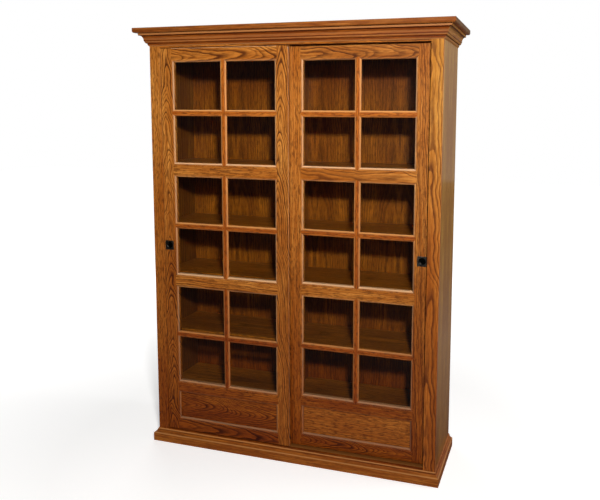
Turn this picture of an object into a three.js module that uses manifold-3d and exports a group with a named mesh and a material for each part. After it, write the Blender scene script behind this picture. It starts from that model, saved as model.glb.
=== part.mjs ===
// A tall oak bookcase with two glazed doors that slide past each other in front of the shelves.
// Millimetres. x runs to the right, y from the front to the back, z up from the floor.
// Inside this file y = 0 is the front of the face frame; the last lines move the whole piece so that
// its origin is on the floor under the middle of its outline.

import * as THREE from "three";
import { mergeVertices } from "three/addons/utils/BufferGeometryUtils.js";
import Module from "manifold-3d";

// Case
const overallHeight = 2134;
const caseWidth = 1476;
const caseDepth = 404;
const boardThickness = 19;
const backThickness = 8;
const backRecess = 24; // from the rear edges of the side panels to the back of the back panel
const backGrooveDepth = 8;
const panelPlay = 0.3; // air around a panel in its groove

// Face frame
const frameThickness = 19;
const frameStileWidth = 57;
const openingBottom = 68;
const headerWidth = 69; // the rail of the face frame above the doors
const frameEdgeRound = 1.5;

// Top board and the crown moulding under it
const topThickness = 24;
const topOverhang = 58;
const topUpperRound = 3;
const topLowerRound = 8;
const topEdgeBand = 20; // how far the moulded edge of the top board reaches over the case
const crownProjection = 38;
const crownFilletHeight = 11;
const crownStep = 4;
const crownCoveDepth = 15;
const crownCoveHeight = 23.5;
const crownMiddleFillet = 3;
const crownBeadStep = 2.5;
const crownUpperBeadDepth = 8.5;
const crownUpperBeadHeight = 10.5;
const crownQuirk = 1.5;
const crownLowerBeadDepth = 5;
const crownLowerBeadHeight = 9.5;
const crownFootHeight = 2;

// Base moulding
const baseProjection = 21;
const baseFaceHeight = 42;
const baseStep = 3.5;
const baseStepHeight = 3;
const baseCoveSize = 11;
const baseQuirk = 1.5;
const baseBeadHeight = 7;

// Partition and shelves
const partitionCentre = -46.5; // it stands to the left of the middle, behind the front door's inner stile
const shelfThickness = 19;
const shelfSetback = 6; // from the back of the rear door to the front edges of shelves and partition
const shelfSidePlay = 1;
const shelfBackPlay = 2;
const shelfEdgeRound = 2.5;
const lowestShelfDrop = 26; // below the middle of the door's panel rail
const pinRadius = 2.5;
const pinSink = 0.8; // how deep a pin's top is let into the shelf
const pinInset = 40; // from the front and back edges of a shelf
const pinLengthUnderShelf = 8;
const pinInsertion = 7;
const pinPlay = 0.3;
const pinHoleSpare = 1;
const pinSides = 12;

// Doors
const doorThickness = 25;
const doorSetback = 4; // front door behind the front of the face frame
const doorSpacing = 6; // air between the two doors
const doorSideGap = 2;
const doorOverlap = 10;
const doorTopGap = 3.5;
const doorBottomGap = 5;
const doorStileWidth = 71;
const topRailWidth = 67.5;
const middleRailWidth = 71.5;
const panelRailWidth = 65.5;
const bottomRailWidth = 66;
const panelOpeningHeight = 134.5;
const muntinWidth = 31;
const stickingWidth = 12;
const stickingDepth = 7;
const stickingQuirk = 1;
const lipThickness = 4; // between the moulded edge and the groove behind it
const grooveWidth = 4;
const grooveDepth = 8;
const jointGap = 0.3;
const doorEdgeRound = 1.5;
const glassThickness = 3;
const glassPlay = 1;
const panelTongueThickness = 3.2;
const panelFieldThickness = 9;
const panelFieldGap = 1.5; // between the panel's field and the back edge of the frame
const glassSectionNames = ["lower", "middle", "upper"];
const middleRailNames = ["lower", "upper"];

// Guides above the doors
const guideTongueThickness = 5;
const guideTongueHeight = 8;
const guidePlay = 0.8;
const guideGrooveDepth = 11;

// Track and rollers under the doors
const trackWebThickness = 1.2;
const trackMargin = 4; // web beyond the middle of each rib
const trackRibHeight = 3.5; // above the sill
const trackRibThickness = 2;
const trackEndPlay = 0.5;
const stopHeight = 12;
const stopHalfWidth = 3;
const stopPlay = 0.3;
const rollerRadius = 12;
const rollerGrooveDepth = 1.5;
const rollerGrooveFloor = 2.6;
const rollerGrooveMouth = 3.8;
const rollerWidth = 6;
const rollerHubRadius = 4;
const rollerHubStand = 0.4;
const rollerLift = 0.2; // running clearance over the rib
const axleRadius = 2;
const axleReach = 3; // into each wall of the pocket
const axlePlay = 0.3;
const axleEndPlay = 0.6;
const pocketSidePlay = 0.6;
const pocketRoundPlay = 1.5;
const rollerInset = 45; // middle of a roller from the nearest sight edge
const rollerSides = 24;

// Flush pulls
const pullSize = 47;
const pullCornerRound = 3;
const pullPlateThickness = 1.6;
const pullPlateBevel = 0.8;
const pullFromDoorEdge = 27;
const pullHeight = 1051;
const pullDishRadius = 17.5;
const pullDishDepth = 8.5;
const pullDishRound = 6;
const pullWall = 1.4;
const pullFit = 0.4;
const pullSides = 32;

// Drawing and cutting
const curveSteps = 5;
const overrun = 5; // how far a cutting shape runs past what it cuts
const mergeDistance = 0.001;

// Levels and planes that follow from the sizes above
const halfCase = caseWidth / 2;
const halfOpening = halfCase - frameStileWidth;
const halfInside = halfCase - boardThickness;
const topUnderside = overallHeight - topThickness;
const openingTop = topUnderside - headerWidth;
const backFront = caseDepth - backRecess - backThickness;
const backRear = caseDepth - backRecess;
const doorWidth = (2 * halfOpening - 2 * doorSideGap + doorOverlap) / 2;
const doorBottom = openingBottom + doorBottomGap;
const doorTop = openingTop - doorTopGap;
const frontDoorFace = doorSetback;
const rearDoorFace = doorSetback + doorThickness + doorSpacing;
const insideFront = rearDoorFace + doorThickness + shelfSetback;
const grooveFront = stickingDepth + lipThickness;
const grooveBack = grooveFront + grooveWidth;
const grooveMiddle = (grooveFront + grooveBack) / 2;
const doorMiddle = doorThickness / 2;
const tongueFront = frameThickness + guidePlay - frontDoorFace;
const tongueBack = tongueFront + guideTongueThickness;
const sightLeft = doorStileWidth;
const sightRight = doorWidth - doorStileWidth;
const middleRailsTogether = middleRailNames.length * middleRailWidth;
const railsTogether = topRailWidth + middleRailsTogether + panelRailWidth + bottomRailWidth;
const glazedHeight = doorTop - doorBottom - railsTogether - panelOpeningHeight;
const sectionHeight = glazedHeight / glassSectionNames.length;
const panelOpeningBottom = doorBottom + bottomRailWidth;
const panelRailBottom = panelOpeningBottom + panelOpeningHeight;
const firstSectionBottom = panelRailBottom + panelRailWidth;
const sectionPitch = sectionHeight + middleRailWidth;
const rollerRunRadius = rollerRadius - rollerGrooveDepth;
const rollerAxisHeight = openingBottom + trackRibHeight + rollerLift + rollerRunRadius;
const pinDrop = pinRadius - pinSink;

const wasm = await Module();
wasm.setup();

// A closed solid from a three.js geometry.
function solidOf(geometry) {
  const bare = geometry.clone();
  bare.deleteAttribute("normal");
  bare.deleteAttribute("uv");
  const merged = mergeVertices(bare, mergeDistance);
  const triVerts = new Uint32Array(merged.index.array);
  const vertProperties = merged.attributes.position.array;
  return new wasm.Manifold(new wasm.Mesh({ numProp: 3, vertProperties, triVerts }));
}

// A three.js geometry from a closed solid.
function geometryOf(solid) {
  const made = solid.getMesh();
  const positions = new Float32Array(made.numVert * 3);
  for (let i = 0; i < made.numVert; i += 1) {
    const start = i * made.numProp;
    positions.set(made.vertProperties.subarray(start, start + 3), i * 3);
  }
  const indexed = new THREE.BufferGeometry();
  indexed.setAttribute("position", new THREE.BufferAttribute(positions, 3));
  indexed.setIndex(new THREE.BufferAttribute(made.triVerts, 1));
  const flat = indexed.toNonIndexed();
  flat.computeVertexNormals();
  return flat;
}

// An outline pushed along z and then turned so that its two directions and its run take the given axes.
function run(outline, length, across, up, along, start) {
  const shape = new THREE.Shape(outline.map(([u, v]) => new THREE.Vector2(u, v)));
  const geometry = new THREE.ExtrudeGeometry(shape, { depth: length, bevelEnabled: false });
  geometry.applyMatrix4(new THREE.Matrix4().makeBasis(across, up, along));
  geometry.translate(start.x, start.y, start.z);
  return solidOf(geometry);
}

const xAxis = new THREE.Vector3(1, 0, 0);
const yAxis = new THREE.Vector3(0, 1, 0);
const zAxis = new THREE.Vector3(0, 0, 1);

// The outline holds [y, z] pairs.
function runAlongX(outline, from, to) {
  return run(outline, to - from, yAxis, zAxis, xAxis, new THREE.Vector3(from, 0, 0));
}

// The outline holds [x, y] pairs.
function runAlongZ(outline, from, to) {
  return run(outline, to - from, xAxis, yAxis, zAxis, new THREE.Vector3(0, 0, from));
}

function block(left, right, front, back, bottom, top) {
  const outline = [
    [front, bottom],
    [back, bottom],
    [back, top],
    [front, top],
  ];
  return runAlongX(outline, left, right);
}

// Points of a quarter of an ellipse. The angles are in quarter turns from the first direction.
function quarter(centreU, centreV, radiusU, radiusV, fromTurn, toTurn) {
  const points = [];
  for (let i = 0; i <= curveSteps; i += 1) {
    const angle = ((fromTurn + ((toTurn - fromTurn) * i) / curveSteps) * Math.PI) / 2;
    points.push([centreU + radiusU * Math.cos(angle), centreV + radiusV * Math.sin(angle)]);
  }
  return points;
}

// A rectangle whose four corners are eased.
function easedRectangle(left, right, low, high, round) {
  return [
    ...quarter(right - round, high - round, round, round, 0, 1),
    ...quarter(left + round, high - round, round, round, 1, 2),
    ...quarter(left + round, low + round, round, round, 2, 3),
    ...quarter(right - round, low + round, round, round, 3, 4),
  ];
}

// A round bar along y or x with its middle line at the given place.
function barAlongY(radius, sides, x, z, front, back) {
  const geometry = new THREE.CylinderGeometry(radius, radius, back - front, sides);
  geometry.translate(x, (front + back) / 2, z);
  return solidOf(geometry);
}

function barAlongX(radius, sides, left, right, y, z) {
  const geometry = new THREE.CylinderGeometry(radius, radius, right - left, sides);
  geometry.rotateZ(Math.PI / 2);
  geometry.translate((left + right) / 2, y, z);
  return solidOf(geometry);
}

// A moulding that goes along the left side, the front and the right side, with a mitre at each front
// corner. The outline holds [outward, z] pairs, outward from the face of the case.
function wrapAroundCase(drawn) {
  const flatDrawn = drawn.map(([out, z]) => new THREE.Vector2(out, z));
  const outline = THREE.ShapeUtils.isClockWise(flatDrawn) ? drawn.slice().reverse() : drawn;
  const stations = [
    (out) => [-halfCase - out, caseDepth],
    (out) => [-halfCase - out, -out],
    (out) => [halfCase + out, -out],
    (out) => [halfCase + out, caseDepth],
  ];
  const count = outline.length;
  const positions = stations.flatMap((place) => outline.flatMap(([out, z]) => [...place(out), z]));
  const faces = [];
  for (let s = 0; s + 1 < stations.length; s += 1) {
    for (let i = 0; i < count; i += 1) {
      const next = (i + 1) % count;
      const a = s * count + i;
      const b = s * count + next;
      const c = (s + 1) * count + next;
      const d = (s + 1) * count + i;
      faces.push(a, c, b, a, d, c);
    }
  }
  const flat = outline.map(([out, z]) => new THREE.Vector2(out, z));
  const last = (stations.length - 1) * count;
  for (const [a, b, c] of THREE.ShapeUtils.triangulateShape(flat, [])) {
    faces.push(a, b, c, last + a, last + c, last + b);
  }
  const geometry = new THREE.BufferGeometry();
  geometry.setAttribute("position", new THREE.Float32BufferAttribute(positions, 3));
  geometry.setIndex(faces);
  return solidOf(geometry);
}

// Materials
function material(colour, roughness, metalness = 0) {
  return new THREE.MeshStandardMaterial({ color: colour, roughness, metalness });
}

const goldenOak = material(0xb9773a, 0.42);
const oakVeneer = material(0x8f5a2b, 0.5);
const redderOak = material(0x9a5a28, 0.45);
const darkPewter = material(0x2b2622, 0.4, 0.9);
const brownVinyl = material(0x6b421f, 0.45, 0);
const nylon = material(0xd9d4c8, 0.5);
const clearGlass = material(0xdfe8e6, 0.03);
clearGlass.transparent = true;
clearGlass.opacity = 0.25;

function addPiece(group, name, solid, finish) {
  const mesh = new THREE.Mesh(geometryOf(solid), finish);
  mesh.name = name;
  group.add(mesh);
}

// Case boards

// The left side panel stands outside the shelves, with a groove for the back and holes for the shelf
// pins; the right one is its mirror image.
function sidePanel(side, shelfTops) {
  const inner = side * halfInside;
  const outer = side * halfCase;
  const left = Math.min(inner, outer);
  const right = Math.max(inner, outer);
  let panel = block(left, right, frameThickness, caseDepth, 0, topUnderside);
  const grooveEnd = inner + side * backGrooveDepth;
  const grooveStart = inner - side * overrun;
  const groove = block(
    Math.min(grooveStart, grooveEnd),
    Math.max(grooveStart, grooveEnd),
    backFront - panelPlay,
    backRear + panelPlay,
    openingBottom - boardThickness - panelPlay,
    topUnderside + overrun,
  );
  panel = panel.subtract(groove);
  return drillPinHoles(panel, inner, side, shelfTops);
}

// Blind holes for the pins of every shelf, drilled from the given face towards the given side.
function drillPinHoles(panel, face, side, shelfTops) {
  const holeEnd = face + side * (pinInsertion + pinHoleSpare);
  const holeStart = face - side * overrun;
  const left = Math.min(holeStart, holeEnd);
  const right = Math.max(holeStart, holeEnd);
  let drilled = panel;
  for (const top of shelfTops) {
    for (const y of pinRows()) {
      const z = top - shelfThickness - pinDrop;
      drilled = drilled.subtract(barAlongX(pinRadius + pinPlay, pinSides, left, right, y, z));
    }
  }
  return drilled;
}

function pinRows() {
  return [insideFront + pinInset, backFront - shelfBackPlay - pinInset];
}

function partition(shelfTops) {
  const left = partitionCentre - boardThickness / 2;
  const right = partitionCentre + boardThickness / 2;
  const plain = block(left, right, insideFront, backFront, openingBottom, openingTop);
  return drillPinHoles(drillPinHoles(plain, left, 1, shelfTops), right, -1, shelfTops);
}

function backPanel() {
  const half = halfInside + backGrooveDepth - panelPlay;
  return block(-half, half, backFront, backRear, openingBottom - boardThickness, topUnderside);
}

// The board over the doors. Its front rebate and its groove guide the tongues of the two doors.
function caseTop() {
  const under = openingTop;
  const grooveTop = openingTop + guideGrooveDepth;
  const upper = openingTop + boardThickness;
  const rebateBack = frontDoorFace + tongueBack + guidePlay;
  const rearGrooveFront = rearDoorFace + tongueFront - guidePlay;
  const rearGrooveBack = rearDoorFace + tongueBack + guidePlay;
  const outline = [
    [frameThickness, upper],
    [frameThickness, grooveTop],
    [rebateBack, grooveTop],
    [rebateBack, under],
    [rearGrooveFront, under],
    [rearGrooveFront, grooveTop],
    [rearGrooveBack, grooveTop],
    [rearGrooveBack, under],
    [backFront, under],
    [backFront, upper],
  ];
  return runAlongX(outline, -halfInside, halfInside);
}

function caseBottom() {
  const lower = openingBottom - boardThickness;
  return block(-halfInside, halfInside, frameThickness, backFront, lower, openingBottom);
}

// Face frame

function faceStile(side) {
  const outer = side * halfCase;
  const inner = side * halfOpening;
  const left = Math.min(outer, inner);
  const right = Math.max(outer, inner);
  const outline = easedRectangle(left, right, 0, frameThickness, frameEdgeRound);
  return runAlongZ(outline, 0, topUnderside);
}

function faceRail(bottom, top) {
  const outline = easedRectangle(0, frameThickness, bottom, top, frameEdgeRound);
  return runAlongX(outline, -halfOpening, halfOpening);
}

// Top board and mouldings

function topBoard() {
  const lowerOut = topOverhang - topLowerRound;
  const upperOut = topOverhang - topUpperRound;
  const lowerMiddle = topUnderside + topLowerRound;
  const upperMiddle = overallHeight - topUpperRound;
  const outline = [
    [-topEdgeBand, topUnderside],
    ...quarter(lowerOut, lowerMiddle, topLowerRound, topLowerRound, 3, 4),
    ...quarter(upperOut, upperMiddle, topUpperRound, topUpperRound, 0, 1),
    [-topEdgeBand, overallHeight],
  ];
  const half = halfCase - topEdgeBand / 2;
  const field = block(-half, half, topEdgeBand / 2, caseDepth, topUnderside, overallHeight);
  return wrapAroundCase(outline).add(field);
}

// From the top board down: a fillet, a cove, a small fillet and two round beads.
function crownMoulding() {
  const filletFoot = topUnderside - crownFilletHeight;
  const coveOut = crownProjection - crownStep;
  const coveFoot = filletFoot - crownCoveHeight;
  const coveIn = coveOut - crownCoveDepth;
  const upperBeadTop = coveFoot - crownMiddleFillet;
  const upperBeadOut = coveIn - crownBeadStep;
  const upperBeadIn = upperBeadOut - crownUpperBeadDepth;
  const lowerBeadTop = upperBeadTop - crownUpperBeadHeight - crownQuirk;
  const lowerBeadOut = upperBeadIn - crownQuirk;
  const lowerBeadIn = lowerBeadOut - crownLowerBeadDepth;
  const lowerBeadFoot = lowerBeadTop - crownLowerBeadHeight;
  const outline = [
    [0, topUnderside],
    [crownProjection, topUnderside],
    [crownProjection, filletFoot],
    ...quarter(coveOut, coveFoot, crownCoveDepth, crownCoveHeight, 1, 2),
    [coveIn, upperBeadTop],
    ...quarter(upperBeadIn, upperBeadTop, crownUpperBeadDepth, -crownUpperBeadHeight, 0, 1),
    [lowerBeadOut, upperBeadTop - crownUpperBeadHeight],
    ...quarter(lowerBeadIn, lowerBeadTop, crownLowerBeadDepth, -crownLowerBeadHeight, 0, 1),
    [lowerBeadIn, lowerBeadFoot - crownFootHeight],
    [0, lowerBeadFoot - crownFootHeight],
  ];
  return wrapAroundCase(outline);
}

// From the floor up: a plain face, a step, a cove and a small bead.
function baseMoulding() {
  const stepTop = baseFaceHeight + baseStepHeight;
  const coveOut = baseProjection - baseStep;
  const coveTop = stepTop + baseCoveSize;
  const coveIn = coveOut - baseCoveSize;
  const beadFoot = coveTop + baseQuirk;
  const beadOut = coveIn - baseQuirk;
  const outline = [
    [0, 0],
    [baseProjection, 0],
    [baseProjection, baseFaceHeight],
    [coveOut, baseFaceHeight + baseStepHeight / 2],
    ...quarter(coveOut, coveTop, baseCoveSize, baseCoveSize, 3, 2),
    [coveIn, beadFoot],
    ...quarter(0, beadFoot, beadOut, baseBeadHeight, 0, 1),
  ];
  return wrapAroundCase(outline);
}

// Shelves

// Each shelf lies behind a cross member of the doors: in the middle of a muntin, level with the upper
// edge of a middle rail, and a little below the panel rail.
function shelfLevels() {
  const levels = [panelRailBottom + panelRailWidth / 2 - lowestShelfDrop + shelfThickness / 2];
  for (let i = 0; i < glassSectionNames.length; i += 1) {
    const sectionBottom = firstSectionBottom + i * sectionPitch;
    levels.push(sectionBottom + sectionHeight / 2 + shelfThickness / 2);
    if (i < middleRailNames.length) levels.push(sectionBottom + sectionPitch);
  }
  return levels;
}

function shelf(left, right, top) {
  const from = left + shelfSidePlay;
  const to = right - shelfSidePlay;
  const bottom = top - shelfThickness;
  const outline = easedRectangle(insideFront, backFront - shelfBackPlay, bottom, top, shelfEdgeRound);
  let board = runAlongX(outline, from, to);
  for (const y of pinRows()) {
    const z = bottom - pinDrop;
    const leftPin = barAlongX(pinRadius, pinSides, left - pinInsertion, from + pinLengthUnderShelf, y, z);
    const rightPin = barAlongX(pinRadius, pinSides, to - pinLengthUnderShelf, right + pinInsertion, y, z);
    board = board.add(leftPin).add(rightPin);
  }
  return board;
}

// Lower track: a thin web with a rib under each door, and a stop for the rear door at each end.
function lowerTrack() {
  const frontRib = frontDoorFace + doorMiddle;
  const rearRib = rearDoorFace + doorMiddle;
  const webTop = openingBottom + trackWebThickness;
  const ribTop = openingBottom + trackRibHeight;
  const halfRib = trackRibThickness / 2;
  const ribOutline = (middle) => [
    [middle + halfRib, webTop],
    ...quarter(middle, ribTop - halfRib, halfRib, halfRib, 0, 2),
    [middle - halfRib, webTop],
  ];
  const outline = [
    [frontRib - trackMargin, openingBottom],
    [rearRib + trackMargin, openingBottom],
    [rearRib + trackMargin, webTop],
    ...ribOutline(rearRib),
    ...ribOutline(frontRib),
    [frontRib - trackMargin, webTop],
  ];
  const end = halfOpening - trackEndPlay;
  const stopInner = halfOpening - doorSideGap + stopPlay;
  const stopTop = openingBottom + stopHeight;
  const rear = [rearRib - stopHalfWidth, rearRib + stopHalfWidth];
  const rightStop = block(stopInner, end, ...rear, openingBottom, stopTop);
  const leftStop = block(-end, -stopInner, ...rear, openingBottom, stopTop);
  return runAlongX(outline, -end, end).add(leftStop).add(rightStop);
}

// Doors. Each is drawn from its own lower left corner: x = 0 at its left edge, y = 0 at its front.

// The moulded inner edge of a door member from front to back, as [across, y] pairs. The opening lies
// on the side given by its sign. A gap draws the same edge for the piece that is coped to fit it.
function mouldedEdge(sight, side, gap = 0) {
  const shifted = sight + side * gap;
  const start = shifted - side * stickingWidth;
  const curve = quarter(
    start,
    stickingDepth,
    side * stickingWidth,
    stickingQuirk - stickingDepth,
    1,
    0,
  );
  return [
    [start, 0],
    ...curve,
    [shifted, grooveFront + gap],
    [shifted - side * grooveDepth, grooveFront + gap],
    [shifted - side * grooveDepth, grooveBack - gap],
    [shifted, grooveBack - gap],
    [shifted, doorThickness],
  ];
}

// A plain outer edge with eased corners, from front to back.
function plainEdge(edge, side) {
  const inner = edge - side * doorEdgeRound;
  return [
    ...quarter(inner, doorEdgeRound, side * doorEdgeRound, -doorEdgeRound, 1, 0),
    ...quarter(inner, doorThickness - doorEdgeRound, side * doorEdgeRound, doorEdgeRound, 0, 1),
  ];
}

// The upper edge of a door with the tongue that runs in the guide, from front to back.
function tonguedEdge(edge) {
  return [
    [edge - doorEdgeRound, 0],
    [edge, doorEdgeRound],
    [edge, tongueFront],
    [edge + guideTongueHeight, tongueFront],
    [edge + guideTongueHeight, tongueBack],
    [edge, tongueBack],
    [edge, doorThickness],
  ];
}

function doorStile(onLeft) {
  const outer = onLeft ? 0 : doorWidth;
  const sight = onLeft ? sightLeft : sightRight;
  const side = onLeft ? 1 : -1;
  const outline = [...mouldedEdge(sight, side), ...plainEdge(outer, -side).reverse()];
  const left = Math.min(outer, sight);
  const right = Math.max(outer, sight);
  const tongue = block(left, right, tongueFront, tongueBack, doorTop - overrun, doorTop + guideTongueHeight);
  return runAlongZ(outline, doorBottom, doorTop).add(tongue);
}

// The space between the stiles, drawn back by the joint gap. A rail cut to it gets coped ends and a
// stub tenon for the groove.
function betweenStiles(bottom, top) {
  const outline = [
    ...mouldedEdge(sightLeft, 1, jointGap),
    ...mouldedEdge(sightRight, -1, jointGap).reverse(),
  ];
  return runAlongZ(outline, bottom - overrun, top + guideTongueHeight + overrun);
}

// A rail from its two edges, each a list of [z, y] pairs from front to back.
function doorRail(lowerEdge, upperEdge, bottom, top) {
  const outline = [...lowerEdge, ...upperEdge.slice().reverse()].map(([z, y]) => [y, z]);
  const long = runAlongX(outline, sightLeft - stickingWidth, sightRight + stickingWidth);
  return long.intersect(betweenStiles(bottom, top));
}

function glazedRail(bottom, top) {
  return doorRail(mouldedEdge(bottom, -1), mouldedEdge(top, 1), bottom, top);
}

function topRail() {
  const bottom = doorTop - topRailWidth;
  return doorRail(mouldedEdge(bottom, -1), tonguedEdge(doorTop), bottom, doorTop);
}

// The bottom rail has a pocket for each roller, open below, and cross holes for its axle.
function bottomRail() {
  const top = doorBottom + bottomRailWidth;
  let rail = doorRail(plainEdge(doorBottom, -1), mouldedEdge(top, 1), doorBottom, top);
  const halfPocket = rollerWidth / 2 + rollerHubStand + pocketSidePlay;
  const halfLength = rollerRadius + pocketRoundPlay;
  const halfAxleHole = halfPocket + axleReach + axleEndPlay;
  const pocketTop = rollerAxisHeight + halfLength;
  for (const x of rollerPlaces()) {
    const pocket = block(
      x - halfLength,
      x + halfLength,
      doorMiddle - halfPocket,
      doorMiddle + halfPocket,
      doorBottom - overrun,
      pocketTop,
    );
    const hole = barAlongY(
      axleRadius + axlePlay,
      pinSides,
      x,
      rollerAxisHeight,
      doorMiddle - halfAxleHole,
      doorMiddle + halfAxleHole,
    );
    rail = rail.subtract(pocket).subtract(hole);
  }
  return rail;
}

function rollerPlaces() {
  return [sightLeft + rollerInset, sightRight - rollerInset];
}

// A grooved roller on its axle, turned about y. It is drawn with its axis through the origin.
function roller() {
  const halfRim = rollerWidth / 2;
  const halfHub = halfRim + rollerHubStand;
  const halfAxle = halfHub + pocketSidePlay + axleReach;
  const half = [
    [rollerRunRadius, rollerGrooveFloor / 2],
    [rollerRadius, rollerGrooveMouth / 2],
    [rollerRadius, halfRim],
    [rollerHubRadius, halfRim],
    [rollerHubRadius, halfHub],
    [axleRadius, halfHub],
    [axleRadius, halfAxle],
    [0, halfAxle],
  ];
  const mirrored = half.map(([radius, along]) => [radius, -along]).reverse();
  const profile = [...mirrored, ...half].map(([radius, along]) => new THREE.Vector2(radius, along));
  return solidOf(new THREE.LatheGeometry(profile, rollerSides));
}

// The room inside one opening of the frame, with the moulded edges on its four sides. What is cut to
// it gets ends that are coped over those edges.
function openingForm(bottom, top) {
  const edgePair = (low, high) => {
    const lower = mouldedEdge(low, 1, jointGap).filter(([, y]) => y <= grooveFront);
    const upper = mouldedEdge(high, -1, jointGap).filter(([, y]) => y <= grooveFront);
    return [...lower, [low + jointGap, grooveFront], [high - jointGap, grooveFront], ...upper.reverse()];
  };
  const across = edgePair(sightLeft, sightRight);
  const upright = edgePair(bottom, top).map(([z, y]) => [y, z]);
  const tall = runAlongZ(across, bottom - stickingWidth, top + stickingWidth);
  return tall.intersect(runAlongX(upright, 0, doorWidth));
}

// Two crossing bars in front of the glass that make four lights of one section.
function muntinGrille(bottom, top) {
  const halfBar = muntinWidth / 2;
  const back = grooveFront - jointGap;
  const barOutline = (middle) => [
    [middle - halfBar, back],
    ...quarter(
      middle - halfBar + stickingWidth,
      stickingDepth,
      stickingWidth,
      stickingDepth - stickingQuirk,
      2,
      3,
    ),
    [middle - halfBar + stickingWidth, 0],
    [middle + halfBar - stickingWidth, 0],
    ...quarter(
      middle + halfBar - stickingWidth,
      stickingDepth,
      stickingWidth,
      stickingDepth - stickingQuirk,
      3,
      4,
    ),
    [middle + halfBar, back],
  ];
  const centreX = doorWidth / 2;
  const centreZ = (bottom + top) / 2;
  const upright = runAlongZ(barOutline(centreX), bottom - stickingWidth, top + stickingWidth);
  const levelOutline = barOutline(centreZ).map(([z, y]) => [y, z]);
  const level = runAlongX(levelOutline, sightLeft - stickingWidth, sightRight + stickingWidth);
  return upright.add(level).intersect(openingForm(bottom, top));
}

function glassSheet(bottom, top) {
  const reach = grooveDepth - glassPlay;
  const front = grooveMiddle - glassThickness / 2;
  const back = grooveMiddle + glassThickness / 2;
  return block(sightLeft - reach, sightRight + reach, front, back, bottom - reach, top + reach);
}

// A flat wood panel whose thin edges sit in the grooves, with a thicker field behind the opening.
function woodPanel() {
  const top = panelRailBottom;
  const reach = grooveDepth - glassPlay;
  const tongueFace = grooveMiddle - panelTongueThickness / 2;
  const tongueRear = grooveMiddle + panelTongueThickness / 2;
  const thin = block(
    sightLeft - reach,
    sightRight + reach,
    tongueFace,
    tongueRear,
    panelOpeningBottom - reach,
    top + reach,
  );
  const fieldFace = doorThickness - panelFieldGap - panelFieldThickness;
  const field = block(
    sightLeft + glassPlay,
    sightRight - glassPlay,
    Math.min(fieldFace, tongueFace),
    doorThickness - panelFieldGap,
    panelOpeningBottom + glassPlay,
    top - glassPlay,
  );
  return thin.add(field);
}

// A square plate with bevelled edges and a round dish for the fingers, let into the stile.
function flushPull(x) {
  const half = pullSize / 2;
  const inner = half - pullPlateBevel;
  const rim = easedRectangle(-inner, inner, -inner, inner, pullCornerRound);
  const shape = new THREE.Shape(rim.map(([u, v]) => new THREE.Vector2(u, v)));
  const plate = new THREE.ExtrudeGeometry(shape, {
    depth: pullPlateThickness - pullPlateBevel,
    bevelThickness: pullPlateBevel,
    bevelSize: pullPlateBevel,
    bevelSegments: 2,
  });
  plate.rotateX(Math.PI / 2);
  plate.translate(x, 0, pullHeight);
  const backOff = block(
    x - pullSize,
    x + pullSize,
    0,
    overrun,
    pullHeight - pullSize,
    pullHeight + pullSize,
  );
  const cupDepth = pullDishDepth + pullWall - pullPlateThickness;
  const cup = barAlongY(pullDishRadius + pullWall, pullSides, x, pullHeight, -pullPlateBevel / 2, cupDepth);
  const floor = pullDishDepth - pullPlateThickness;
  const dishProfile = [
    [0, floor],
    ...quarter(pullDishRadius - pullDishRound, floor - pullDishRound, pullDishRound, pullDishRound, 1, 0),
    [pullDishRadius, -pullPlateThickness - overrun],
    [0, -pullPlateThickness - overrun],
  ].map(([radius, along]) => new THREE.Vector2(radius, along));
  const dish = new THREE.LatheGeometry(dishProfile.reverse(), pullSides);
  dish.translate(x, 0, pullHeight);
  return solidOf(plate).subtract(backOff).add(cup).subtract(solidOf(dish));
}

// The stile that holds a pull is bored for its cup.
function boreForPull(stile, x) {
  const depth = pullDishDepth + pullWall - pullPlateThickness + pullFit;
  const radius = pullDishRadius + pullWall + pullFit;
  return stile.subtract(barAlongY(radius, pullSides, x, pullHeight, -overrun, depth));
}

// One whole door as a group. Its pull is on the stile away from the other door.
function makeDoor(name, pullOnLeft) {
  const door = new THREE.Group();
  const pullPlace = pullOnLeft ? pullFromDoorEdge : doorWidth - pullFromDoorEdge;
  const leftStile = pullOnLeft ? boreForPull(doorStile(true), pullPlace) : doorStile(true);
  const rightStile = pullOnLeft ? doorStile(false) : boreForPull(doorStile(false), pullPlace);
  addPiece(door, `${name}_stile_left`, leftStile, goldenOak);
  addPiece(door, `${name}_stile_right`, rightStile, goldenOak);
  addPiece(door, `${name}_rail_top`, topRail(), goldenOak);
  addPiece(door, `${name}_rail_panel`, glazedRail(panelRailBottom, firstSectionBottom), redderOak);
  addPiece(door, `${name}_rail_bottom`, bottomRail(), redderOak);
  addPiece(door, `${name}_panel`, woodPanel(), redderOak);
  glassSectionNames.forEach((place, i) => {
    const bottom = firstSectionBottom + i * sectionPitch;
    const top = bottom + sectionHeight;
    addPiece(door, `${name}_muntins_${place}`, muntinGrille(bottom, top), goldenOak);
    addPiece(door, `${name}_glass_${place}`, glassSheet(bottom, top), clearGlass);
    if (i < middleRailNames.length) {
      const rail = glazedRail(top, top + middleRailWidth);
      addPiece(door, `${name}_rail_${middleRailNames[i]}`, rail, goldenOak);
    }
  });
  addPiece(door, `${name}_pull`, flushPull(pullPlace), darkPewter);
  rollerPlaces().forEach((x, i) => {
    const mesh = new THREE.Mesh(geometryOf(roller()), nylon);
    mesh.name = `${name}_roller_${i + 1}`;
    mesh.position.set(x, doorMiddle, rollerAxisHeight);
    door.add(mesh);
  });
  return door;
}

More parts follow.
